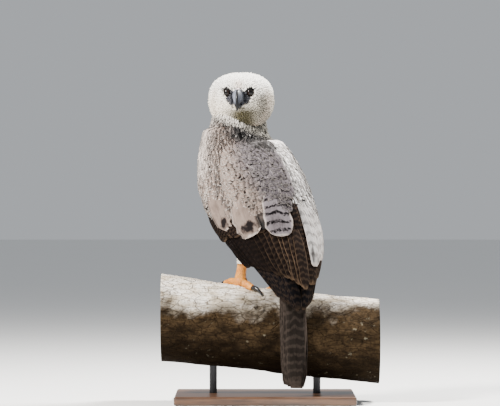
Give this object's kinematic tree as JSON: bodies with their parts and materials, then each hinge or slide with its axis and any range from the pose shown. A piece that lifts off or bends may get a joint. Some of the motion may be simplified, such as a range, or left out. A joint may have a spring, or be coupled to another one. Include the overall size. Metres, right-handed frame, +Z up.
{
  "type": "harpy eagle",
  "caption": "Life-size harpy eagle at rest, wings folded and long tail hanging, head turned back over its shoulder, gripping a cut length of bough on a plain display stand.",
  "frame": {"origin": "middle of the underside of the stand's base", "axes": "+Z up; -Y is the side that shows the bird's back, from which the picture is taken; the bird's breast faces away from it, 33 degrees to the left of +Y seen from above; +X is the picture's right"},
  "size_m": [0.63, 0.4, 0.9552],
  "materials": {
    "breast_plumage": "soft feathers, matte",
    "back_plumage": "large feathers, pale beige with dark spots, matte",
    "wing_plumage": "vaned feathers, pale coverts and dark barred flight feathers",
    "head_plumage": "short soft feathers, cream white, matte",
    "neck_plumage": "soft feathers, pale grey with a mottled collar",
    "tail_plumage": "vaned feathers, dark grey-brown with paler bars",
    "leg_plumage": "soft feathers, matte",
    "leg_skin": "scaled skin, yellow-orange, satin",
    "claw_horn": "polished dark horn",
    "bill_horn": "polished slate-black horn",
    "cere_skin": "slate-grey bare skin, satin",
    "eye": "wet-looking dark brown",
    "bark": "rough bark with pale lichen",
    "stand_wood": "satin varnish",
    "stand_metal": "satin black"
  },
  "bodies": {
    "root": {"bill_lower": "bill_horn", "bill_upper": "bill_horn", "cere": "cere_skin", "claw_hind_left": "claw_horn", "claw_hind_right": "claw_horn", "claw_inner_left": "claw_horn", "claw_inner_right": "claw_horn", "claw_middle_left": "claw_horn", "claw_middle_right": "claw_horn", "claw_outer_left": "claw_horn", "claw_outer_right": "claw_horn", "eye_left": "eye", "eye_right": "eye", "foot_left": "leg_skin", "foot_right": "leg_skin", "head": "head_plumage", "mantle": "back_plumage", "neck": "neck_plumage", "perch_bough": "bark", "stand_base": "stand_wood", "stand_rod_left": "stand_metal", "stand_rod_right": "stand_metal", "tail": "tail_plumage", "tarsus_left": "leg_skin", "tarsus_right": "leg_skin", "thigh_left": "leg_plumage", "thigh_right": "leg_plumage", "torso": "breast_plumage", "wing_left": "wing_plumage", "wing_right": "wing_plumage"}
  },
  "joints": []
}
